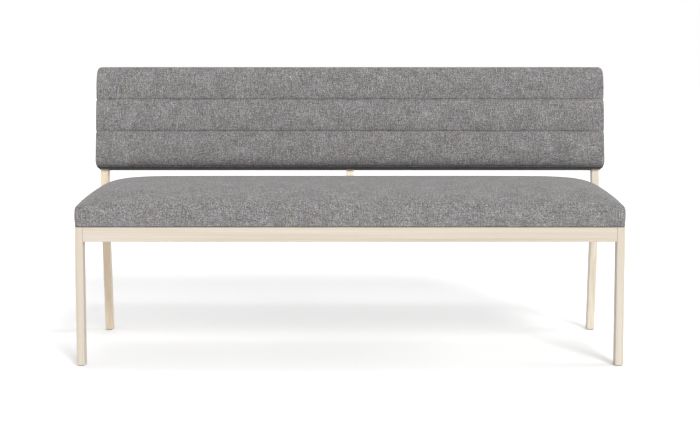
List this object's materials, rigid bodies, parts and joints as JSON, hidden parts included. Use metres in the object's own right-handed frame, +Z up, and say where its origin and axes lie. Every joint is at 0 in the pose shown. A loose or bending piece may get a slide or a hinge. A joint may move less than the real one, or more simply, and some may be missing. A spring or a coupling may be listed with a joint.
{
  "type": "upholstered banquette bench",
  "caption": "Long upholstered bench: slim pale ash frame, crowned grey seat cushion and a reclined padded back with channels sewn across it.",
  "frame": {"origin": "middle of the floor area under the bench's bounding box, on the floor", "axes": "+Z up, +X along the bench to the sitter's left, -Y the way the sitter faces"},
  "size_m": [1.53, 0.6244, 0.8038],
  "materials": {
    "ash": "white oil, satin",
    "plywood": "raw",
    "upholstery": "heather wool weave",
    "foam": "open cell",
    "wadding": "fibre",
    "dust_cloth": "non-woven",
    "steel": "zinc plated",
    "glide_plastic": "matte"
  },
  "bodies": {
    "root": {"front_leg_left": "ash", "front_leg_right": "ash", "rear_leg_left": "ash", "rear_leg_right": "ash", "centre_post": "ash", "front_rail": "ash", "rear_rail": "ash", "side_rail_left": "ash", "side_rail_right": "ash", "cross_bearer_left": "ash", "cross_bearer_right": "ash", "corner_block_front_left": "ash", "corner_block_front_right": "ash", "corner_block_rear_left": "ash", "corner_block_rear_right": "ash", "glide_front_left": "glide_plastic", "glide_front_right": "glide_plastic", "glide_rear_left": "glide_plastic", "glide_rear_right": "glide_plastic", "seat_board": "plywood", "seat_foam_base": "foam", "seat_foam_crown": "foam", "seat_wadding": "wadding", "seat_cover": "upholstery", "seat_dust_cover": "dust_cloth", "dust_cover_staples": "steel", "seat_fixing_screws": "steel", "centre_post_screws": "steel", "back_top_rail": "ash", "back_bottom_rail_left": "ash", "back_bottom_rail_right": "ash", "back_board": "plywood", "back_board_screws": "steel", "back_foam": "foam", "back_wadding": "wadding", "back_cover": "upholstery", "back_rear_board": "plywood", "rear_board_screws": "steel", "back_outside_panel": "upholstery"}
  },
  "joints": []
}
